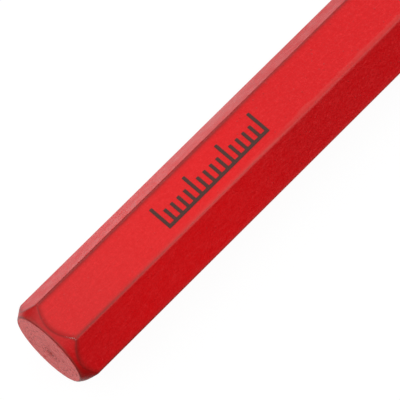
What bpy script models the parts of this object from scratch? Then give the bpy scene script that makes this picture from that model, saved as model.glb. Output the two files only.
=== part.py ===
"""A pin punch, lying on one flat of its hexagonal shank.

It has three nodes: the one-piece steel tool, the red lacquer coat on its head and shank, and
a printed scale mark on the top flat. +X runs along the tool from the striking head to the pin,
+Z is up, and the origin is on the surface that the tool lies on, under the middle of its length.
Everything is in metres.
"""

import math

import bpy

# Driving dimensions
LENGTH = 0.150                        # striking face to pin tip
ACROSS_FLATS = 0.010                  # of the shank, over the lacquer
PIN_RADIUS = 0.0015
PIN_LENGTH = 0.042                    # parallel length that drives a pin out of its hole
EDGE_ROUND = 0.0005                   # radius of the bar's long edges

FILM = 0.00008                        # thickness of the lacquer
FILM_GAP = 0.00002                    # kept between the lacquer and the steel, and under the ink
LACQUER_LENGTH = 0.088                # the lacquer stops here, before the shoulder

HEAD_FACE_RADIUS = 0.00463            # flat striking face, over the lacquer
HEAD_CHAMFER = math.radians(34)       # slope of the head's turned chamfer, from the tool's axis

SHOULDER_SLOPE = math.radians(15)     # slope of the cone between shank and pin, from the tool's axis
SHOULDER_FILLET = 0.010               # concave radius where the cone meets the pin
TIP_CHAMFER = 0.0003

MARK_START = 0.0175                   # from the striking face to the middle of the first tick
MARK_SPACING = 0.001
MARK_TICKS = 16
MARK_LONG_EVERY = 5
MARK_STROKE = 0.0004
MARK_SHORT_TICK = 0.0020
MARK_LONG_TICK = 0.0031               # the mark's whole height, its base line included
INK = 0.00003                         # thickness of the ink

# Worked out from them
STEEL_INSET = FILM + FILM_GAP
FLAT_TO_AXIS = ACROSS_FLATS / 2
HEAD_X = -LENGTH / 2
TIP_X = LENGTH / 2
CLEAR_RADIUS = ACROSS_FLATS * 0.65    # outside the hexagon's corners
BLANK_OVERHANG = 0.005                # extra length at each end of a bar, before it is turned

# Fineness of round shapes
TURNED_STEPS = 72
FILLET_STEPS = 8
EDGE_SEGMENTS = 4
WELD = 0.000002                       # points of a turned shape closer than this become one
SHARP_OVER = math.radians(20)         # edges sharper than this stay crisp when shaded

# Materials: colour, roughness, metallic
STEEL = ("bare_steel", (0.46, 0.46, 0.47, 1), 0.28, 1.0)
LACQUER = ("red_lacquer", (0.72, 0.010, 0.014, 1), 0.38, 0.0)
MARK_INK = ("mark_ink", (0.035, 0.038, 0.036, 1), 0.70, 0.0)


def material(name, colour, roughness, metallic):
    made = bpy.data.materials.new(name)
    made.use_nodes = True
    shader = made.node_tree.nodes["Principled BSDF"]
    shader.inputs["Base Color"].default_value = colour
    shader.inputs["Roughness"].default_value = roughness
    shader.inputs["Metallic"].default_value = metallic
    return made


def move_to(obj, collection):
    for old in list(obj.users_collection):
        old.objects.unlink(obj)
    collection.objects.link(obj)


def as_cutter(obj, cutters):
    """A helper that shapes another object and isn't a part itself."""
    move_to(obj, cutters)
    obj.hide_render = True
    obj.display_type = "WIRE"


def hexagonal_blank(name, inset, start, end, collection):
    """A hexagonal bar on the tool's axis with rounded long edges.

    Its surface lies `inset` under the finished one. One flat faces up and one down, so two
    corners point sideways.
    """
    apothem = FLAT_TO_AXIS - inset
    bpy.ops.mesh.primitive_cylinder_add(
        vertices=6,
        radius=apothem / math.cos(math.radians(30)),
        depth=end - start + 2 * BLANK_OVERHANG,
        location=((start + end) / 2, 0, FLAT_TO_AXIS),
        rotation=(0, math.radians(90), 0),
    )
    blank = bpy.context.object
    blank.name = name
    blank.data.name = name
    move_to(blank, collection)
    rounding = blank.modifiers.new("rounded_edges", "BEVEL")
    rounding.width = (EDGE_ROUND - inset) * math.tan(math.radians(30))
    rounding.segments = EDGE_SEGMENTS
    rounding.limit_method = "ANGLE"
    return blank


def turned(name, outline, cutters):
    """A solid of revolution on the tool's axis. The outline is (x, radius) points, head first."""
    points = [(radius, 0, x) for x, radius in reversed(outline)]
    mesh = bpy.data.meshes.new(name)
    mesh.from_pydata(points, [(i, i + 1) for i in range(len(points) - 1)], [])
    shape = bpy.data.objects.new(name, mesh)
    cutters.objects.link(shape)
    as_cutter(shape, cutters)
    shape.location = (0, 0, FLAT_TO_AXIS)
    shape.rotation_euler = (0, math.radians(90), 0)
    screw = shape.modifiers.new("turned", "SCREW")
    screw.steps = screw.render_steps = TURNED_STEPS
    screw.use_merge_vertices = True
    screw.merge_threshold = WELD
    return shape


def cut(obj, operation, other):
    boolean = obj.modifiers.new(operation.lower() + "_" + other.name, "BOOLEAN")
    boolean.operation = operation
    boolean.object = other
    boolean.solver = "EXACT"


def head_outline(inset):
    """The turned head, `inset` under the finished surface, to where its cone is clear of the bar."""
    shrink = inset / math.cos(HEAD_CHAMFER)
    slope = math.tan(HEAD_CHAMFER)
    face_radius = HEAD_FACE_RADIUS + inset * slope - shrink
    cone_end = (CLEAR_RADIUS - HEAD_FACE_RADIUS + shrink) / slope
    return [
        (HEAD_X + inset, 0),
        (HEAD_X + inset, face_radius),
        (HEAD_X + cone_end, CLEAR_RADIUS),
    ]


def pin_outline():
    """The turned working end: the shoulder's cone, the fillet, the parallel pin and its chamfered tip."""
    slope = math.tan(SHOULDER_SLOPE)
    pin_start = TIP_X - PIN_LENGTH
    fillet_reach = SHOULDER_FILLET * math.tan(SHOULDER_SLOPE / 2)
    cone_start = pin_start - (CLEAR_RADIUS - PIN_RADIUS) / slope
    points = [(cone_start, CLEAR_RADIUS)]
    for i in range(FILLET_STEPS + 1):
        angle = SHOULDER_SLOPE * (1 - i / FILLET_STEPS)
        x = pin_start + fillet_reach - SHOULDER_FILLET * math.sin(angle)
        radius = PIN_RADIUS + SHOULDER_FILLET * (1 - math.cos(angle))
        points.append((x, radius))
    points.append((TIP_X - TIP_CHAMFER, PIN_RADIUS))
    points.append((TIP_X, PIN_RADIUS - TIP_CHAMFER))
    points.append((TIP_X, 0))
    return points


def finish(obj, colour_and_surface):
    """Fixes the shape that the modifiers give, shades it smooth except across real edges, and colours it."""
    evaluated = obj.evaluated_get(bpy.context.evaluated_depsgraph_get())
    shaped = bpy.data.meshes.new_from_object(evaluated)
    obj.modifiers.clear()
    obj.data = shaped
    shaped.name = obj.name
    shaped.shade_smooth()
    shaped.set_sharp_from_angle(angle=SHARP_OVER)
    shaped.materials.clear()
    shaped.materials.append(material(*colour_and_surface))


def steel_body(collection, cutters):
    """The tool itself: hexagonal shank, chamfered head, conical shoulder and pin, all one piece."""
    body = hexagonal_blank("steel_body", STEEL_INSET, HEAD_X, TIP_X, collection)
    outline = head_outline(STEEL_INSET) + pin_outline()
    cut(body, "INTERSECT", turned("turning_of_steel", outline, cutters))
    finish(body, STEEL)


def lacquer_coat(collection, cutters):
    """The lacquer: a thin closed-ended sleeve over the head and the shank, open towards the pin."""
    film_end = HEAD_X + LACQUER_LENGTH
    outside = [*head_outline(0), (film_end, CLEAR_RADIUS), (film_end, 0)]
    coat = hexagonal_blank("lacquer_coat", 0, HEAD_X, film_end, collection)
    cut(coat, "INTERSECT", turned("turning_of_coat", outside, cutters))

    core_end = film_end + BLANK_OVERHANG
    inside = [*head_outline(FILM), (core_end, CLEAR_RADIUS), (core_end, 0)]
    core = hexagonal_blank("core_of_coat", FILM, HEAD_X, core_end, cutters)
    as_cutter(core, cutters)
    cut(core, "INTERSECT", turned("turning_of_core", inside, cutters))
    cut(coat, "DIFFERENCE", core)
    finish(coat, LACQUER)


def mark_outline():
    """The mark's outline: a base line, and a comb of ticks with each fifth one long."""
    reach = (MARK_TICKS - 1) * MARK_SPACING
    half = MARK_STROKE / 2
    points = [(-half, 0), (reach + half, 0)]
    for i in reversed(range(MARK_TICKS)):
        height = MARK_SHORT_TICK if i % MARK_LONG_EVERY else MARK_LONG_TICK
        centre = i * MARK_SPACING
        if i < MARK_TICKS - 1:
            points.append((centre + half, MARK_STROKE))
        points.append((centre + half, height))
        points.append((centre - half, height))
        if i > 0:
            points.append((centre - half, MARK_STROKE))
    return points


def printed_mark(collection):
    """The print on the top flat: a plain scale with a tick each millimetre and no figures."""
    outline = mark_outline()
    curve = bpy.data.curves.new("printed_mark", "CURVE")
    curve.dimensions = "2D"
    curve.fill_mode = "BOTH"
    curve.extrude = INK / 2
    spline = curve.splines.new("POLY")
    spline.points.add(len(outline) - 1)
    for point, (x, y) in zip(spline.points, outline):
        point.co = (x, y, 0, 1)
    spline.use_cyclic_u = True
    mark = bpy.data.objects.new("printed_mark", curve)
    collection.objects.link(mark)
    mark.location = (HEAD_X + MARK_START, -MARK_LONG_TICK / 2, ACROSS_FLATS + FILM_GAP + INK / 2)
    curve.materials.append(material(*MARK_INK))


def main():
    for obj in list(bpy.data.objects):
        bpy.data.objects.remove(obj)
    parts = bpy.data.collections.new("pin_punch")
    cutters = bpy.data.collections.new("cutters")
    for collection in (parts, cutters):
        bpy.context.scene.collection.children.link(collection)
    steel_body(parts, cutters)
    lacquer_coat(parts, cutters)
    printed_mark(parts)


main()
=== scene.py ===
import math

import bpy
import numpy as np
from mathutils import Euler, Matrix, Vector, noise


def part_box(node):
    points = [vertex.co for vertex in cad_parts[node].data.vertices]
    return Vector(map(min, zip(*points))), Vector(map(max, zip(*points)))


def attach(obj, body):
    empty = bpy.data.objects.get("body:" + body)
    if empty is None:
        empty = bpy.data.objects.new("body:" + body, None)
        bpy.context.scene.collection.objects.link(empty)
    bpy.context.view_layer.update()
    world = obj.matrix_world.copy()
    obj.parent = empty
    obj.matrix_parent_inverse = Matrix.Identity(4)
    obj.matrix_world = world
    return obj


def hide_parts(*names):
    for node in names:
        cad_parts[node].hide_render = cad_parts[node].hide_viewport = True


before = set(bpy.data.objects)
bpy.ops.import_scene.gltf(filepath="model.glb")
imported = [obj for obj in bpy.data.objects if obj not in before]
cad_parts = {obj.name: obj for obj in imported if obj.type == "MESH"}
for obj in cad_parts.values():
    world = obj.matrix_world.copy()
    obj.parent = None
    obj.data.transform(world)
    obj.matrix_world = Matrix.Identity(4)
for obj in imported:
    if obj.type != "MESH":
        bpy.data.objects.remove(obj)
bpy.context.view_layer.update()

MM = 0.001

# Taken from the frame
COAT_LOW, COAT_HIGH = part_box("lacquer_coat")
STEEL_LOW, STEEL_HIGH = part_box("steel_body")
MARK_LOW, MARK_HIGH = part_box("printed_mark")
AXIS = Vector((COAT_LOW.x, 0, (COAT_LOW.z + COAT_HIGH.z) / 2))    # the middle of the striking face
COAT_LENGTH = COAT_HIGH.x - COAT_LOW.x
COAT_APOTHEM = (COAT_HIGH.z - COAT_LOW.z) / 2
STEEL_APOTHEM = (STEEL_HIGH.z - STEEL_LOW.z) / 2
STEEL_START = STEEL_LOW.x - AXIS.x
TIP = STEEL_HIGH.x - AXIS.x

# The tool's turned and rounded shapes, as in the CAD model
FILM = 0.08 * MM
FACE_RADIUS = 4.63 * MM
CHAMFER_ANGLE = math.radians(34)
CHAMFER_SLOPE = math.tan(CHAMFER_ANGLE)
PIN_RADIUS = 1.5 * MM
PIN_LENGTH = 42 * MM
SHOULDER_ANGLE = math.radians(15)
SHOULDER_FILLET = 10 * MM
TIP_CHAMFER = 0.3 * MM

# The bar's six edges: back, back upper, front upper, front, front lower, back lower
CORNERS = [math.radians(60 * k) for k in range(6)]
HALF_TURN_OF_CORNER = math.radians(30)
FRONT_UPPER = 2

# Their radii by the head, and farther on, where one is crisper and another is worn rounder
HEAD_EDGE_RADII = np.full(6, 0.5) * MM
WORN_EDGE_RADII = np.array([0.5, 0.37, 0.7, 0.5, 0.5, 0.5]) * MM
WEAR_STARTS = 29 * MM                 # from the striking face
WEAR_IS_FULL = 36 * MM

# Fineness of the meshes: columns in each rounded edge and each flat, and steps along the surfaces
CORNER_COLUMNS = 11
FLAT_COLUMNS = 17
FACE_STEP = 0.04 * MM
SHANK_STEP = 0.4 * MM


def unit(vectors):
    return vectors / np.linalg.norm(vectors, axis=-1, keepdims=True)


def smooth(value, low, high):
    """0 below `low`, 1 above `high`, and a soft step between."""
    share = np.clip((value - low) / (high - low), 0, 1)
    return share * share * (3 - 2 * share)


def wobble(points, scale, seed):
    """Smooth noise from -1 to 1 at each point, with features about `scale` in size."""
    shift = Vector((seed * 17.3, seed * 5.1, seed * 9.7))
    return np.array([noise.noise(Vector(p) / scale + shift) for p in points])


def hexagon(apothem, edge_radii):
    """The bar's section as points (y, z) about its axis: a rounded corner, then a flat, six times."""
    turns = np.linspace(-HALF_TURN_OF_CORNER, HALF_TURN_OF_CORNER, CORNER_COLUMNS)
    arcs = []
    for corner, edge_radius in zip(CORNERS, edge_radii):
        to_centre = (apothem - edge_radius) / math.cos(HALF_TURN_OF_CORNER)
        centre = to_centre * np.array([math.cos(corner), math.sin(corner)])
        around = np.stack([np.cos(corner + turns), np.sin(corner + turns)], axis=1)
        arcs.append(centre + edge_radius * around)
    across = 0.5 - 0.5 * np.cos(np.linspace(0, math.pi, FLAT_COLUMNS + 2))[1:-1, None]
    points = []
    for k, arc in enumerate(arcs):
        start, end = arc[-1], arcs[(k + 1) % 6][0]
        points += [arc, start + (end - start) * across]
    return np.concatenate(points)


def nearest_edge(section):
    """For each point of the section: the nearest edge, how far its middle is, and whether the point is on
    the flat before it (0) or after it (1).
    """
    middles = section[CORNER_COLUMNS // 2::CORNER_COLUMNS + FLAT_COLUMNS]
    distances = np.linalg.norm(section[:, None] - middles[None], axis=2)
    edge = distances.argmin(axis=1)
    middle = middles[edge]
    side = (middle[:, 0] * section[:, 1] > middle[:, 1] * section[:, 0]).astype(int)
    return edge, distances.min(axis=1), side


def polar(section):
    """The section's distances from the axis, and the directions that its points lie in."""
    radius = np.linalg.norm(section, axis=1)
    return radius, section / radius[:, None]


def wear_at(x):
    """How worn the bar's edges are, from 0 by the head to 1 from the middle of the shank on."""
    return float(smooth(x, WEAR_STARTS, WEAR_IS_FULL))


def face_radius(depth):
    """The end face's radius on a surface that lies `depth` under the lacquer's."""
    return FACE_RADIUS + depth * (CHAMFER_SLOPE - 1 / math.cos(CHAMFER_ANGLE))


def chamfer_end(radius, depth):
    """Where the chamfer runs out into the bar's flats and edges, `depth` under the lacquer's surface."""
    return np.column_stack([depth + (radius - face_radius(depth)) / CHAMFER_SLOPE, radius])


def rounded(before, corner, after, reach, steps):
    """Rows of profile points that round off a corner of each column's profile."""
    start = corner + unit(before - corner) * reach
    end = corner + unit(after - corner) * reach
    share = np.linspace(0, 1, steps)[:, None, None]
    return list((1 - share) ** 2 * start + 2 * share * (1 - share) * corner + share ** 2 * end)


def between(first, last, steps):
    """Rows strictly between two rows."""
    return [first + (last - first) * share for share in np.linspace(0, 1, steps + 2)[1:-1]]


def level(x, radius, columns):
    """A row of (distance from the face, radius) that is the same in each column."""
    return np.tile(np.array([x, radius], float), (columns, 1))


def swept(row, directions):
    """A profile row turned into points: each column lies in its own direction from the axis."""
    return np.column_stack([row[:, 0], row[:, 1:] * directions])


class Rows:
    """Rows of points from one end of a piece to the other, with values that its material reads."""

    def __init__(self, *keys):
        self.points = []
        self.values = {key: [] for key in keys}

    def add(self, points, **values):
        self.points.append(points)
        for key, rows in self.values.items():
            rows.append(np.broadcast_to(values.get(key, 0.0), len(points)))


def skin(name, rows, start_point, end_point):
    """A closed mesh over rows of points, with a fan to a middle point at either end."""
    columns = len(rows.points[0])
    vertices = np.concatenate([[start_point], *rows.points, [end_point]])
    ring = np.arange(columns)
    following = (ring + 1) % columns
    faces = [(0, 1 + b, 1 + a) for a, b in zip(ring, following)]
    for r in range(len(rows.points) - 1):
        here, there = 1 + r * columns, 1 + (r + 1) * columns
        faces += [(here + a, here + b, there + b, there + a) for a, b in zip(ring, following)]
    last = len(vertices) - 1
    faces += [(last - columns + a, last - columns + b, last) for a, b in zip(ring, following)]
    mesh = bpy.data.meshes.new(name)
    mesh.from_pydata(vertices.tolist(), [], faces)
    for key, values in rows.values.items():
        layer = mesh.attributes.new(key, "FLOAT", "POINT")
        everywhere = np.concatenate([values[0][:1], *values, values[-1][:1]])
        layer.data.foreach_set("value", everywhere.astype(np.float32))
    mesh.shade_smooth()
    piece = bpy.data.objects.new(name, mesh)
    bpy.context.scene.collection.objects.link(piece)
    piece.location = AXIS
    return piece


# ---------------------------------------------------------------- lacquer

FACING_PITCH = 0.42 * MM              # rings that the lathe left on the striking face
FACING_DEPTH = 0.020 * MM
CENTRE_PIP = 0.06 * MM                # depth of the ragged spot where the lathe's cutter ran out
PIP_RADIUS = 0.22 * MM
STAIN_RADIUS = 1.9 * MM               # of the browner coat round it
RINGS_CENTRE = np.array([-0.26, -0.50]) * MM     # the middle of the rings, across the face
SOFT_BORDER = 0.16 * MM               # reach of the rounding on the chamfer's two borders
WEAR_SEED = 203                       # puts the bare spot where one corner of the marked flat is worn

PALE_PATCH_AT = 32 * MM                   # the paler patch beside the back edge, from the striking face
PALE_PATCH_REACH = 6 * MM
PALE_STRETCH_AT = 27.5 * MM                  # and the fainter stretch round it
PALE_STRETCH_REACH = 14 * MM

SQUARE_FROM = 3 * MM                  # from here on the mesh's rows are square to the axis
END_REACH = 1 * MM                    # length over which the film thins out at its end
END_SHORT = 0.15 * MM                 # the film stops this far before the CAD's, on the average,
END_RAGGED = 0.12 * MM                # and strays this far from that

# The coat on the mesh's rows from the striking face outwards
RIM_THIN = (0.1, 0.3, 0.5, 0.7, 0.85, 0.8, 0.6)       # how thin it is over the face's rim
CHAMFER_SHADE = (0.6, 0.3, 0.1, 0.1, 0.3)             # how much painted shade on the chamfer
ARC_SHADE = (0.45, 0.65, 0.8, 0.9, 0.8, 0.7, 0.6)     # how much painted shade over the chamfer's outer border
ARC_BARE = (0, 0.2, 0.8, 1, 0.8, 0.2, 0)              # and how bare there, where it is worn

# The coat beside each of the six edges: on the flat before the edge, and on the flat after it
EDGE_COATS = np.array([
    # how much painted shade, how far that reaches in mm, how thin, how fast it recovers its depth in mm
    [(0.30, 0.30), (0.22, 0.22), (0.62, 0.62), (0.28, 0.28)],
    [(1.20, 1.20), (0.22, 0.33), (0.10, 0.10), (0.28, 0.28)],
    [(0.00, 0.20), (0.22, 0.45), (0.80, 0.80), (0.23, 0.09)],    # wiped downwards
    [(0.15, 0.15), (0.22, 0.22), (0.62, 0.62), (0.28, 0.28)],
    [(0.30, 0.30), (0.22, 0.22), (0.62, 0.62), (0.28, 0.28)],
    [(0.40, 0.40), (0.22, 0.22), (0.62, 0.62), (0.28, 0.28)],
])

NICKS = [
    # edge, distance from the striking face, length, depth
    (1, 9.4 * MM, 0.5 * MM, 0.04 * MM),
    (1, 22.0 * MM, 0.4 * MM, 0.05 * MM),
    (2, 13.5 * MM, 0.6 * MM, 0.04 * MM),
    (4, 31.0 * MM, 0.9 * MM, 0.05 * MM),
    (2, 30.2 * MM, 0.5 * MM, 0.04 * MM),
    (5, 52.0 * MM, 0.7 * MM, 0.05 * MM),
    (0, 64.0 * MM, 0.6 * MM, 0.04 * MM),
    (3, 71.0 * MM, 0.8 * MM, 0.05 * MM),
]


def facing_rings(points):
    """The lathe's rings at points of the striking face: 0 on a ridge, 1 in the deepest groove."""
    radius = np.linalg.norm(points[:, 1:] - RINGS_CENTRE, axis=1) + 0.06 * MM * wobble(points, 1.3 * MM, 6)
    strength = 0.35 + 0.5 * wobble(np.outer(radius, [1, 0, 0]), 0.6 * MM, 1)
    strength += 0.25 * wobble(points, 1.1 * MM, 4) + 0.7 * np.exp(-(radius / MM) ** 2)
    strength += smooth(wobble(points, 0.5 * MM, 7), 0.30, 0.55)
    return np.clip(strength, 0, 1) * (0.5 + 0.5 * np.cos(2 * math.pi * radius / FACING_PITCH))


def round_centre(points, radius):
    """1 at the middle of the rings, fading over `radius`."""
    across = (points[:, 1:] - RINGS_CENTRE) / radius
    return np.exp(-np.sum(across ** 2, axis=1))


def centre_spot(points):
    """The ragged spot at the middle of the rings: 1 at its deepest."""
    return round_centre(points, PIP_RADIUS) * (1 + 0.5 * wobble(points, 0.15 * MM, 2))


def paleness_at(x):
    """How pale the coat beside the back edge is: a little in one stretch of the bar, more in one patch."""
    stretch = 1 - smooth(abs(x - PALE_STRETCH_AT), 2 * MM, PALE_STRETCH_REACH)
    patch = 1 - smooth(abs(x - PALE_PATCH_AT), 0, PALE_PATCH_REACH)
    return 0.35 * (stretch + patch)


def nicked(points):
    """The points moved inwards where something has knocked the bar's edges."""
    moved = points.copy()
    corner_distance = COAT_APOTHEM / math.cos(HALF_TURN_OF_CORNER)
    for edge, x, length, depth in NICKS:
        outwards = np.array([0, math.cos(CORNERS[edge]), math.sin(CORNERS[edge])])
        middle = np.array([x, 0, 0]) + outwards * corner_distance
        distance = np.linalg.norm(points - middle, axis=1)
        moved -= depth * np.exp(-(distance / length) ** 2)[:, None] * outwards
    return moved


def bearing_of(section):
    return np.arctan2(section[:, 1], section[:, 0])


def lobe(bearing, middle, reach):
    """1 in the direction `middle`, falling to 0 at `reach` to either side.

    Both are in degrees round the axis, counted from the back edge upwards.
    """
    turn = (np.degrees(bearing) - middle + 180) % 360 - 180
    return 1 - smooth(np.abs(turn), 0, reach)


def coat_beside_edges(section):
    """How thin the coat is towards the nearest edge, and how much painted shade lies there, at each point
    of the section.
    """
    edge, from_edge, side = nearest_edge(section)
    dark, dark_reach, thin, thin_reach = EDGE_COATS[edge, :, side].T
    thin = thin * np.exp(-from_edge / (thin_reach * MM))
    dark = dark * np.exp(-(from_edge / (dark_reach * MM)) ** 2)
    return thin, dark


def add_striking_face(rows, directions):
    """The face, with the lathe's rings and the spot at their middle as relief."""
    for r in np.arange(FACE_STEP, FACE_RADIUS - 1.2 * SOFT_BORDER, FACE_STEP):
        points = swept(level(0, r, len(directions)), directions)
        ring = facing_rings(points)
        spot = centre_spot(points)
        stain = 0.16 * round_centre(points, STAIN_RADIUS)
        points[:, 0] += FACING_DEPTH * ring + CENTRE_PIP * spot
        rows.add(points, striking_face=1.0, ring=np.clip(ring + spot + stain, 0, 1))


def add_chamfer(rows, section):
    """The chamfer and its soft borders, with painted shade towards the borders and on two sides of the
    chamfer.

    Returns how far from the face the chamfer stops in each column.
    """
    radius, directions = polar(section)
    columns = len(section)
    bearing = bearing_of(section)
    edge_thin, _ = coat_beside_edges(section)
    rim = level(0, FACE_RADIUS, columns)
    arc = chamfer_end(radius, 0)
    rim_rows = rounded(level(0, 0, columns), rim, arc, SOFT_BORDER, len(RIM_THIN))
    arc_rows = rounded(rim, arc, arc + [1 * MM, 0], SOFT_BORDER, len(ARC_SHADE))
    chamfer_rows = between(rim_rows[-1], arc_rows[0], len(CHAMFER_SHADE))

    for row, thin in zip(rim_rows, RIM_THIN):
        rows.add(swept(row, directions), thin_paint=thin, striking_face=float(thin < 0.5))

    # painted shade on two sides of the chamfer, and less of it beside the rim on one side
    painted_chamfer_shade = 0.4 * lobe(bearing, 55, 90) + 0.6 * lobe(bearing, 185, 65)
    beside_rim = 1 - 0.8 * lobe(bearing, 118, 35)
    for row, shade in zip(chamfer_rows, CHAMFER_SHADE):
        rows.add(
            swept(row, directions),
            thin_paint=shade * 0.4 * beside_rim,
            shade=np.maximum(shade * beside_rim, painted_chamfer_shade),
        )

    towards_edge = smooth((radius - COAT_APOTHEM) / (radius.max() - COAT_APOTHEM), 0.3, 0.6)
    worn_here = smooth(wobble(swept(arc, directions), 2 * MM, WEAR_SEED), 0.40, 0.65)
    for row, shade, bare in zip(arc_rows, ARC_SHADE, ARC_BARE):
        rows.add(
            swept(row, directions),
            thin_paint=0.5 * edge_thin,
            shade=np.maximum(shade, painted_chamfer_shade),
            bare_steel=bare * towards_edge * worn_here,
        )
    return arc_rows[-1][:, 0]


def shank_rows(arc_x, last_x):
    """How far each row of the shank is from the face, and the least painted shade on it.

    The first rows follow the chamfer's arcs, and the others are square to the axis.
    """
    # painted shade fading out just past the chamfer's outer border
    placed = [(arc_x + 0.15 * MM, 0.45), (arc_x + 0.3 * MM, 0.2), (arc_x + 0.5 * MM, 0.05)]
    placed += [(arc_x + (SQUARE_FROM - arc_x) * share, 0) for share in np.linspace(0.4, 1, 5)]
    square = np.arange(SQUARE_FROM + SHANK_STEP, last_x, SHANK_STEP)
    return placed + [(np.full(len(arc_x), x), 0) for x in square]


def add_shank(rows, section, arc_x, last_x):
    """The coat on the flats and the long edges."""
    edge, from_edge, side = nearest_edge(section)
    edge_thin, edge_dark = coat_beside_edges(section)
    edge_chips = 0.3 * (1 - smooth(from_edge, 0, 0.2 * MM))
    above_worn_edge = (edge == FRONT_UPPER) & (side == 0)
    marked_flat = smooth(section[:, 1], COAT_APOTHEM - 0.2 * MM, COAT_APOTHEM)
    beside_back_edge = lobe(bearing_of(section), 14, 46)
    for x, shade in shank_rows(arc_x, last_x):
        wear = wear_at(x.mean())
        outline = hexagon(COAT_APOTHEM, HEAD_EDGE_RADII + (WORN_EDGE_RADII - HEAD_EDGE_RADII) * wear)
        points = np.column_stack([x, outline])
        ragged_reach = from_edge + 0.15 * MM * wobble(points, 0.5 * MM, 12)
        # a band above the front upper edge, worn thin, and painted lighter as a highlight farther from the
        # head
        worn_highlit_band = above_worn_edge * (1 - smooth(ragged_reach, 0.30 * MM, 0.45 * MM))
        rows.add(
            nicked(points),
            thin_paint=np.maximum(edge_thin * (1 - 0.6 * wear * above_worn_edge), 0.32 * wear * worn_highlit_band),
            # painted shade beside the edges, a little less where they are worn
            shade=np.maximum(shade, edge_dark * (1 - 0.2 * wear)),
            bare_steel=edge_chips,
            marked_flat=marked_flat,
            faded=beside_back_edge * paleness_at(x.mean()),
        )


def add_end_and_inside(rows, section, last_x):
    """The film's ragged end, and its inside, which is hidden against the steel."""
    edge_thin, _ = coat_beside_edges(section)
    raggedness = wobble(np.column_stack([np.zeros(len(section)), section]), 2.5 * MM, 3)
    film_end = COAT_LENGTH - END_SHORT - END_RAGGED * raggedness
    for share, thinned in ((0.6, 0), (0.85, 0.3), (1, 0.75)):
        outline = hexagon(COAT_APOTHEM - FILM * thinned, WORN_EDGE_RADII)
        x = last_x + (film_end - last_x) * share
        rows.add(np.column_stack([x, outline]), thin_paint=np.maximum(thinned * 0.5, edge_thin))

    inner_end = hexagon(COAT_APOTHEM - FILM, WORN_EDGE_RADII - FILM)
    rows.add(np.column_stack([film_end, inner_end]))
    radius, directions = polar(hexagon(COAT_APOTHEM - FILM, HEAD_EDGE_RADII - FILM))
    rows.add(swept(chamfer_end(radius, FILM), directions))
    rows.add(swept(level(FILM, face_radius(FILM), len(section)), directions))


def make_lacquer():
    """The lacquer: a film over the head and the shank, thin on every edge, open at its far end."""
    section = hexagon(COAT_APOTHEM, HEAD_EDGE_RADII)
    last_x = COAT_LENGTH - END_REACH
    rows = Rows("thin_paint", "shade", "bare_steel", "striking_face", "ring", "marked_flat", "faded")
    add_striking_face(rows, polar(section)[1])
    arc_x = add_chamfer(rows, section)
    add_shank(rows, section, arc_x, last_x)
    add_end_and_inside(rows, section, last_x)

    middle = np.zeros((1, 3))
    dip = FACING_DEPTH * facing_rings(middle) + CENTRE_PIP * centre_spot(middle)
    return skin("lacquer_film", rows, [float(dip[0]), 0, 0], [FILM, 0, 0])


# ---------------------------------------------------------------- steel

SOFT_TURNED = 0.06 * MM               # reach of the rounding where turned surfaces meet
SOFT_TIP = 0.05 * MM
BAR_ROWS = 24
CONE_ROWS = 40
PIN_ROWS = 60


def make_steel():
    """The one-piece tool: a hexagonal bar whose head and working end are turned on a lathe."""
    depth = COAT_APOTHEM - STEEL_APOTHEM
    head_radius, head_directions = polar(hexagon(STEEL_APOTHEM, HEAD_EDGE_RADII - depth))
    radius, directions = polar(hexagon(STEEL_APOTHEM, WORN_EDGE_RADII - depth))
    columns = len(radius)
    pin_start = TIP - PIN_LENGTH
    fillet_reach = SHOULDER_FILLET * math.tan(SHOULDER_ANGLE / 2)

    # Where the cone cuts the bar, where it meets the pin, and the tip's chamfer
    scallop = np.column_stack([pin_start - (radius - PIN_RADIUS) / math.tan(SHOULDER_ANGLE), radius])
    pin_root = level(pin_start, PIN_RADIUS, columns)
    tip_shoulder = level(TIP - TIP_CHAMFER, PIN_RADIUS, columns)
    tip_rim = level(TIP, PIN_RADIUS - TIP_CHAMFER, columns)
    tip_middle = level(TIP, 0, columns)

    scallop_rows = rounded(scallop - [1 * MM, 0], scallop, pin_root, SOFT_TURNED, 5)
    fillet_rows = rounded(scallop, pin_root, tip_shoulder, fillet_reach, 13)
    shoulder_rows = rounded(pin_root, tip_shoulder, tip_rim, SOFT_TURNED, 5)
    tip_rows = rounded(tip_shoulder, tip_rim, tip_middle, SOFT_TIP, 5)

    rows = Rows("turned")
    rows.add(swept(level(STEEL_START, face_radius(depth), columns), head_directions))
    bar_start = swept(chamfer_end(head_radius, depth), head_directions)
    bar_end = swept(scallop_rows[0], directions)
    for points in [bar_start, *between(bar_start, bar_end, BAR_ROWS)]:
        rows.add(points)
    for row, turned in zip(scallop_rows, (0, 0, 0.5, 1, 1)):
        rows.add(swept(row, directions), turned=turned)
    turned_rows = between(scallop_rows[-1], fillet_rows[0], CONE_ROWS) + fillet_rows
    turned_rows += between(fillet_rows[-1], shoulder_rows[0], PIN_ROWS) + shoulder_rows
    turned_rows += between(shoulder_rows[-1], tip_rows[0], 2) + tip_rows
    turned_rows += between(tip_rows[-1], tip_middle, 4)
    for row in turned_rows:
        rows.add(swept(row, directions), turned=1.0)
    return skin("punch_steel", rows, [STEEL_START, 0, 0], [TIP, 0, 0])


# ---------------------------------------------------------------- printed mark

TICKS = 16
LONG_EVERY = 5
STROKE = 0.4 * MM
SHORT_TICK = 2.0 * MM
LONG_TICK = MARK_HIGH.y - MARK_LOW.y
TICK_SPACING = (MARK_HIGH.x - MARK_LOW.x - STROKE) / (TICKS - 1)
INK_THICKNESS = 0.02 * MM
INK_LOWERED = 0.01 * MM               # the print lies this much closer to the lacquer than the CAD solid
SOFT_CORNER = 0.07 * MM
OUTLINE_STEP = 0.12 * MM
RAGGED_SIZE = 0.18 * MM               # size and depth of the unevenness of the print's edges
RAGGED_DEPTH = 0.012 * MM


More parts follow.
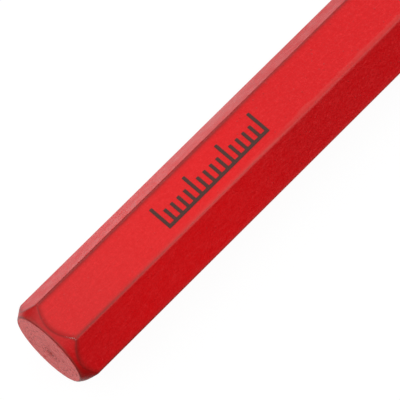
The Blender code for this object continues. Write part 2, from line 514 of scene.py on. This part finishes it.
def mark_corners():
    """The printed scale's outline from its lower left corner: a base line and a comb of ticks."""
    half = STROKE / 2
    points = [(-half, 0), ((TICKS - 1) * TICK_SPACING + half, 0)]
    for i in reversed(range(TICKS)):
        height = SHORT_TICK if i % LONG_EVERY else LONG_TICK
        centre = i * TICK_SPACING
        if i < TICKS - 1:
            points.append((centre + half, STROKE))
        points += [(centre + half, height), (centre - half, height)]
        if i > 0:
            points.append((centre - half, STROKE))
    return points


def softened(corners, reach, spacing):
    """The outline with its corners rounded and its sides cut into short steps, each a little uneven."""
    corners = [Vector(c) for c in corners]
    outline = []
    for i, corner in enumerate(corners):
        before, after = corners[i - 1], corners[(i + 1) % len(corners)]
        start = corner + (before - corner).normalized() * reach
        end = corner + (after - corner).normalized() * reach
        for share in (0, 0.5, 1):
            outline.append((1 - share) ** 2 * start + 2 * share * (1 - share) * corner + share ** 2 * end)
        leave = after + (corner - after).normalized() * reach
        steps = int((leave - end).length / spacing)
        outline += [end.lerp(leave, s / (steps + 1)) for s in range(1, steps + 1)]
    uneven = []
    for p in outline:
        at = p.to_3d() / RAGGED_SIZE
        shift = Vector((noise.noise(at), noise.noise(at + Vector((7, 3, 1)))))
        uneven.append(p + shift * RAGGED_DEPTH)
    return uneven


def make_mark():
    """The print: ink of even thickness, its edges slightly ragged."""
    outline = softened(mark_corners(), SOFT_CORNER, OUTLINE_STEP)
    curve = bpy.data.curves.new("scale_print", "CURVE")
    curve.dimensions = "2D"
    curve.fill_mode = "BOTH"
    curve.extrude = INK_THICKNESS / 2
    spline = curve.splines.new("POLY")
    spline.points.add(len(outline) - 1)
    for point, (x, y) in zip(spline.points, outline):
        point.co = (x, y, 0, 1)
    spline.use_cyclic_u = True
    shape = bpy.data.objects.new("scale_print_outline", curve)
    bpy.context.scene.collection.objects.link(shape)
    evaluated = shape.evaluated_get(bpy.context.evaluated_depsgraph_get())
    mesh = bpy.data.meshes.new_from_object(evaluated)
    bpy.data.objects.remove(shape)
    piece = bpy.data.objects.new("scale_print", mesh)
    bpy.context.scene.collection.objects.link(piece)
    height = MARK_LOW.z - INK_LOWERED + INK_THICKNESS / 2
    piece.location = (MARK_LOW.x + STROKE / 2, MARK_LOW.y, height)
    return piece


# ---------------------------------------------------------------- materials

class Nodes:
    """A node tree under construction. Its methods take numbers, colours or the sockets of other nodes."""

    def __init__(self, tree):
        self.nodes = tree.nodes
        self.links = tree.links

    def put(self, value, socket):
        if isinstance(value, bpy.types.NodeSocket):
            self.links.new(value, socket)
        else:
            socket.default_value = value

    def math(self, operation, *values):
        node = self.nodes.new("ShaderNodeMath")
        node.operation = operation
        for value, socket in zip(values, node.inputs):
            self.put(value, socket)
        return node.outputs["Value"]

    def vector_math(self, operation, vector, factors):
        node = self.nodes.new("ShaderNodeVectorMath")
        node.operation = operation
        self.put(vector, node.inputs[0])
        node.inputs[1].default_value = factors
        return node

    def ramp(self, value, low, high, out_low=0.0, out_high=1.0):
        """A soft step from `out_low`, where the value is `low`, to `out_high`, where it is `high`."""
        node = self.nodes.new("ShaderNodeMapRange")
        node.interpolation_type = "SMOOTHSTEP"
        self.put(value, node.inputs["Value"])
        node.inputs["From Min"].default_value = low
        node.inputs["From Max"].default_value = high
        node.inputs["To Min"].default_value = out_low
        node.inputs["To Max"].default_value = out_high
        return node.outputs["Result"]

    def mix(self, share, first, second):
        """A colour between two colours."""
        node = self.nodes.new("ShaderNodeMix")
        node.data_type = "RGBA"
        for value, socket in ((share, node.inputs[0]), (first, node.inputs[6]), (second, node.inputs[7])):
            self.put(value, socket)
        return node.outputs[2]

    def blend(self, share, first, second):
        """A number between two numbers."""
        node = self.nodes.new("ShaderNodeMix")
        node.data_type = "FLOAT"
        for value, socket in ((share, node.inputs[0]), (first, node.inputs[2]), (second, node.inputs[3])):
            self.put(value, socket)
        return node.outputs[0]


class Surface(Nodes):
    """A material under construction. Its coordinates are the piece's own, in millimetres."""

    def __init__(self, name):
        self.material = bpy.data.materials.new(name)
        self.material.use_nodes = True
        super().__init__(self.material.node_tree)
        self.shader = self.nodes["Principled BSDF"]
        coordinates = self.nodes.new("ShaderNodeTexCoord")
        self.place = self.stretched(coordinates.outputs["Object"], (1 / MM, 1 / MM, 1 / MM))

    def stretched(self, vector, factors):
        return self.vector_math("MULTIPLY", vector, factors).outputs["Vector"]

    def noise(self, size, detail=2, roughness=0.5, stretch=(1, 1, 1), shift=0):
        """Noise from 0 to 1 with features about `size` millimetres across, drawn out by `stretch`."""
        node = self.nodes.new("ShaderNodeTexNoise")
        node.noise_dimensions = "4D"
        factors = [1 / (size * s) for s in stretch]
        self.put(self.stretched(self.place, factors), node.inputs["Vector"])
        node.inputs["W"].default_value = shift
        node.inputs["Scale"].default_value = 1
        node.inputs["Detail"].default_value = detail
        node.inputs["Roughness"].default_value = roughness
        return node.outputs["Fac"]

    def specks(self, spacing, radius):
        """1 inside scattered specks of about `radius` millimetres, 0 outside."""
        node = self.nodes.new("ShaderNodeTexVoronoi")
        self.put(self.stretched(self.place, [1 / spacing] * 3), node.inputs["Vector"])
        node.inputs["Scale"].default_value = 1
        return self.ramp(node.outputs["Distance"], 0.6 * radius / spacing, 1.3 * radius / spacing, 1, 0)

    def along_bar(self):
        """How many millimetres the point is from the striking face."""
        node = self.nodes.new("ShaderNodeSeparateXYZ")
        self.put(self.place, node.inputs[0])
        return node.outputs["X"]

    def attribute(self, name):
        node = self.nodes.new("ShaderNodeAttribute")
        node.attribute_name = name
        return node.outputs["Fac"]

    def bump(self, height, distance, onto=None):
        """Height from 0 to 1 stands `distance` millimetres tall."""
        node = self.nodes.new("ShaderNodeBump")
        node.inputs["Strength"].default_value = 1
        node.inputs["Distance"].default_value = distance * MM
        self.put(height, node.inputs["Height"])
        if onto is not None:
            self.put(onto, node.inputs["Normal"])
        return node.outputs["Normal"]

    def set(self, **values):
        for key, value in values.items():
            self.put(value, self.shader.inputs[key.replace("_", " ")])


RED = (0.675, 0.0010, 0.0030, 1)
TOP_SHADE_RED = (0.53, 0.0175, 0.0175, 1)     # painted shade: the upward marked flat is darker and a little yellower by the head
DEEP_RED = (0.555, 0.0012, 0.0035, 1)
PALE_RED = (0.72, 0.016, 0.019, 1)
PALE_PATCH_RED = (0.62, 0.105, 0.105, 1)      # the paler, pinker patch beside the back edge
SHADED_RED = (0.26, 0.006, 0.005, 1)
THIN_RED = (0.35, 0.022, 0.018, 1)       # steel darkening a film that is too thin to hide it
RUBBED_HIGHLIT_RED = (0.57, 0.040, 0.036, 1)     # the same on the edges farther from the head, painted lighter there as a highlight too
THINNEST_RED = (0.19, 0.018, 0.015, 1)
FACE_RED = (0.87, 0.029, 0.020, 1)       # the thin brownish coat on the striking face, with painted light making it lighter
# painted shade in the lathe's grooves on the striking face, and the colour of its pits, grain and centre
# stain
GROOVE_SHADE_AND_PIT_RED = (0.36, 0.012, 0.009, 1)
SPECK_RED = (0.22, 0.010, 0.008, 1)
WORN_STEEL = (0.50, 0.44, 0.42, 1)
PAINTED_LIGHT_AT = 18                        # middle of the painted pool of light, in millimetres from the striking face


def grained_red(s, along, grain):
    """The coat away from the edges: a painted pool of light over one stretch of the bar, and grain all
    over.
    """
    from_painted_light = s.math("ABSOLUTE", s.math("SUBTRACT", along, PAINTED_LIGHT_AT))
    # painted shade on the upward marked flat, fading away from the head
    painted_top_shade = s.math("MULTIPLY", s.attribute("marked_flat"), s.ramp(along, -14, 40, 1, 0))
    mottle = s.noise(0.45, roughness=0.6, shift=8)
    streaks = s.noise(0.07, detail=1, stretch=(40, 1, 1), shift=6)
    # painted light: the coat is lightest at one stretch of the bar and darker to either side
    red = s.mix(s.ramp(from_painted_light, 5, 19, 0, 0.9), RED, DEEP_RED)
    red = s.mix(painted_top_shade, red, TOP_SHADE_RED)
    red = s.mix(s.ramp(s.noise(4), 0.4, 0.7, 0, 0.2), red, DEEP_RED)
    red = s.mix(s.ramp(grain, 0.50, 0.75, 0, 0.8), red, PALE_RED)
    red = s.mix(s.ramp(grain, 0.25, 0.50, 0.7, 0), red, DEEP_RED)
    red = s.mix(s.ramp(mottle, 0.50, 0.72, 0, 0.35), red, PALE_RED)
    red = s.mix(s.ramp(mottle, 0.28, 0.50, 0.35, 0), red, DEEP_RED)
    red = s.mix(s.ramp(streaks, 0.60, 0.75, 0, 0.5), red, PALE_RED)
    faded = s.math("MULTIPLY", s.attribute("faded"), s.ramp(streaks, 0.30, 0.65, 0.4, 1.3))
    return s.mix(faded, red, PALE_PATCH_RED)


def groove_shade_and_pits_of_face(s):
    """The lathe's grooves, with painted shade in them, and the pits and grain of the thin coat over them.
    """
    grain = s.noise(0.25, detail=3, roughness=0.6, shift=14)
    groove_shade_and_pits = s.math("MAXIMUM", s.attribute("ring"), s.ramp(grain, 0.4, 0.65, 0, 0.5))
    return s.math("MAXIMUM", groove_shade_and_pits, s.specks(1.1, 0.12))


def worn_and_shaded_red(s, red, along):
    """Painted shade round the chamfer and beside the edges, and the coat thin on the edges."""
    ragged = s.noise(0.4, detail=4, roughness=0.6, shift=9)
    uneven = s.ramp(ragged, 0.2, 0.6, 0.75, 1.1)
    red = s.mix(s.math("MULTIPLY", s.attribute("shade"), uneven), red, SHADED_RED)
    thin = s.math("MULTIPLY", s.attribute("thin_paint"), uneven)
    red = s.mix(s.ramp(thin, 0.0, 0.62), red, s.mix(s.ramp(along, 3, 22), THIN_RED, RUBBED_HIGHLIT_RED))
    return s.mix(s.ramp(thin, 0.65, 1.0), red, THINNEST_RED)


def lacquer_material():
    s = Surface("red_lacquer")
    along = s.along_bar()
    face = s.attribute("striking_face")
    grain = s.noise(0.18, detail=3, roughness=0.7, shift=3)
    groove_shade_and_pits = groove_shade_and_pits_of_face(s)
    dust = s.specks(0.8, 0.09)

    red = s.mix(face, grained_red(s, along, grain), s.mix(groove_shade_and_pits, FACE_RED, GROOVE_SHADE_AND_PIT_RED))
    red = s.mix(s.math("MULTIPLY", dust, s.ramp(along, 20, 34, 0.05, 0.3)), red, SPECK_RED)
    red = worn_and_shaded_red(s, red, along)
    knocked = s.math("MULTIPLY", s.attribute("bare_steel"), 0.3)
    chipped = s.ramp(s.math("ADD", s.noise(0.10, shift=11), knocked), 0.76, 0.88)
    colour = s.mix(chipped, red, WORN_STEEL)

    orange_peel = s.noise(0.40, detail=3, roughness=0.6, shift=5)
    peel_height = s.blend(face, s.ramp(along, 18, 36, 0.6, 1.2), 1.1)
    normal = s.bump(s.math("MULTIPLY", orange_peel, peel_height), 0.065)
    normal = s.bump(s.math("ADD", grain, dust), 0.018, onto=normal)
    roughness = s.ramp(s.noise(1.4, shift=12), 0.3, 0.7, 0.34, 0.42)
    roughness = s.blend(face, roughness, s.ramp(groove_shade_and_pits, 0, 1, 0.35, 0.52))
    s.set(Base_Color=colour, Metallic=chipped, Roughness=roughness, Normal=normal, Specular_IOR_Level=0.26)
    return s.material


TURNED_STEEL = (0.50, 0.50, 0.50, 1)
TURNED_STEEL_DARK = (0.42, 0.42, 0.425, 1)
DRAWN_STEEL = (0.38, 0.375, 0.37, 1)
DRAWN_STEEL_DARK = (0.30, 0.295, 0.29, 1)


def steel_material():
    """Bare steel: drawn along the bar, and turned round the cone and the pin."""
    s = Surface("bare_steel")
    lathe = s.noise(0.09, stretch=(1, 60, 60))
    lathe_fine = s.noise(0.03, detail=1, stretch=(1, 60, 60), shift=4)
    drawn = s.noise(0.25, detail=3, stretch=(30, 1, 1), shift=7)
    cloud = s.noise(3.0, detail=3, shift=2)
    turned = s.attribute("turned")
    turned_tone = s.mix(s.ramp(cloud, 0.3, 0.7), TURNED_STEEL, TURNED_STEEL_DARK)
    drawn_tone = s.mix(s.ramp(drawn, 0.3, 0.7), DRAWN_STEEL_DARK, DRAWN_STEEL)
    height = s.math("ADD", s.math("MULTIPLY", lathe, turned), s.math("MULTIPLY", lathe_fine, 0.4))
    roughness = s.math("SUBTRACT", s.ramp(cloud, 0.3, 0.7, 0.36, 0.46), s.math("MULTIPLY", turned, 0.1))
    s.set(Base_Color=s.mix(turned, drawn_tone, turned_tone), Roughness=roughness, Metallic=1.0)
    s.set(Normal=s.bump(height, 0.004))
    return s.material


INK = (0.050, 0.027, 0.022, 1)
THIN_INK = (0.095, 0.033, 0.027, 1)
WORN_INK = (0.26, 0.03, 0.028, 1)        # specks where the lacquer shows through


def ink_material():
    s = Surface("mark_ink")
    grain = s.noise(0.12, detail=3)
    tone = s.mix(s.ramp(grain, 0.35, 0.7), INK, THIN_INK)
    tone = s.mix(s.ramp(s.noise(0.09, shift=4), 0.64, 0.8, 0, 0.6), tone, WORN_INK)
    s.set(Base_Color=tone, Roughness=s.ramp(grain, 0.3, 0.7, 0.55, 0.7), Specular_IOR_Level=0.15)
    return s.material


def floor_material():
    """White paper that shines a little by itself, so that only a faint shadow shows round the tool."""
    s = Surface("pale_floor")
    s.set(Base_Color=(0.07, 0.07, 0.07, 1), Roughness=0.9, Specular_IOR_Level=0.0)
    s.set(Emission_Color=(1, 1, 1, 1), Emission_Strength=0.94)
    return s.material


# ---------------------------------------------------------------- stage, light and camera

FLOOR_SIZE = 6
FLOOR_LOWERED = 0.02 * MM                # keeps the floor clear of the tool's flat


def make_floor():
    bpy.ops.mesh.primitive_plane_add(size=FLOOR_SIZE, location=(0, 0, -FLOOR_LOWERED))
    floor = bpy.context.object
    floor.name = "studio_floor"
    floor.data.materials.append(floor_material())
    floor.visible_diffuse = False
    floor.visible_glossy = False
    floor.visible_shadow = False


ZENITH = 0.76             # brightness of the ceiling's middle
HORIZON = 0.02            # and of the room at eye level
TOWARDS_SIDES = 1.65      # how much brighter the ceiling is low down than in its middle, as a share
TOWARDS_BACK = 0.13       # how much brighter it gets towards the back
DARK_CORNER = 0.2         # what is left of it in one corner between the lights
TO_DARK_CORNER = (-0.732, -0.621, 0.281)
LIT_FLOOR = 1.02          # the bright paper under and behind the tool
UNLIT_FLOOR = 0.02        # and the rest of the floor
TO_LIT_FLOOR = (0, 0.43, -0.903)
SHOWN_BACKGROUND = 0.99   # what the camera sees past the floor


def light_room():
    """A bright ceiling over a dark horizon, and a lit patch of floor under and behind the tool."""
    world = bpy.data.worlds.new("studio")
    bpy.context.scene.world = world
    world.use_nodes = True
    room = Nodes(world.node_tree)
    direction = room.nodes.new("ShaderNodeTexCoord").outputs["Generated"]

    def towards(axis):
        return room.vector_math("DOT_PRODUCT", direction, axis).outputs["Value"]

    upwards = towards((0, 0, 1))
    ceiling = room.ramp(upwards, 0.03, 0.26, HORIZON, ZENITH)
    lower = room.ramp(upwards, 0.4, 0.9, 1 + TOWARDS_SIDES, 1)
    corner = room.ramp(towards(TO_DARK_CORNER), 0.91, 0.985, 1, DARK_CORNER)
    ceiling = room.math("MULTIPLY", room.math("MULTIPLY", ceiling, lower), corner)
    ceiling = room.math("MULTIPLY_ADD", ceiling, towards((0, TOWARDS_BACK, 0)), ceiling)
    floor = room.ramp(towards(TO_LIT_FLOOR), 0.76, 0.93, UNLIT_FLOOR, LIT_FLOOR)
    is_above = room.ramp(upwards, -0.15, 0.05)
    lit = room.blend(is_above, floor, ceiling)

    is_camera = room.nodes.new("ShaderNodeLightPath").outputs["Is Camera Ray"]
    background = room.nodes["Background"]
    room.put(room.blend(is_camera, lit, SHOWN_BACKGROUND), background.inputs["Strength"])
    background.inputs["Color"].default_value = (1, 1, 1, 1)


# Where the photograph was taken from
CAMERA_TARGET = Vector((23.29, 0.03, 0)) * MM     # from the middle of the striking face
CAMERA_DISTANCE = 461.8 * MM
CAMERA_AZIMUTH = math.radians(-41.95)
CAMERA_ELEVATION = math.radians(66.36)
CAMERA_ROLL = math.radians(-5.21)
LENS = 389.5                                      # focal length and sensor, in millimetres
SENSOR_WIDTH = 36


def make_camera():
    data = bpy.data.cameras.new("camera")
    camera = bpy.data.objects.new("camera", data)
    bpy.context.scene.collection.objects.link(camera)
    bpy.context.scene.camera = camera
    data.lens = LENS
    data.sensor_width = SENSOR_WIDTH
    data.clip_start = 0.01
    data.clip_end = 50
    flat = math.cos(CAMERA_ELEVATION)
    back = Vector((
        math.sin(CAMERA_AZIMUTH) * flat,
        -math.cos(CAMERA_AZIMUTH) * flat,
        math.sin(CAMERA_ELEVATION),
    ))
    camera.location = AXIS + CAMERA_TARGET + back * CAMERA_DISTANCE
    aim = Euler((math.pi / 2 - CAMERA_ELEVATION, 0, CAMERA_AZIMUTH)).to_matrix()
    camera.rotation_euler = (aim @ Matrix.Rotation(CAMERA_ROLL, 3, "Z")).to_euler()


def main():
    bpy.context.scene.view_settings.view_transform = "Standard"
    make_camera()
    light_room()
    make_floor()
    pieces = [
        (make_lacquer(), "lacquer_coat", "red_lacquer", lacquer_material()),
        (make_steel(), "steel_body", "bare_steel", steel_material()),
        (make_mark(), "printed_mark", "mark_ink", ink_material()),
    ]
    for piece, node, slot, material in pieces:
        piece.data.materials.clear()
        piece.data.materials.append(material)
        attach(piece, "root")
        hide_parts(node)


main()
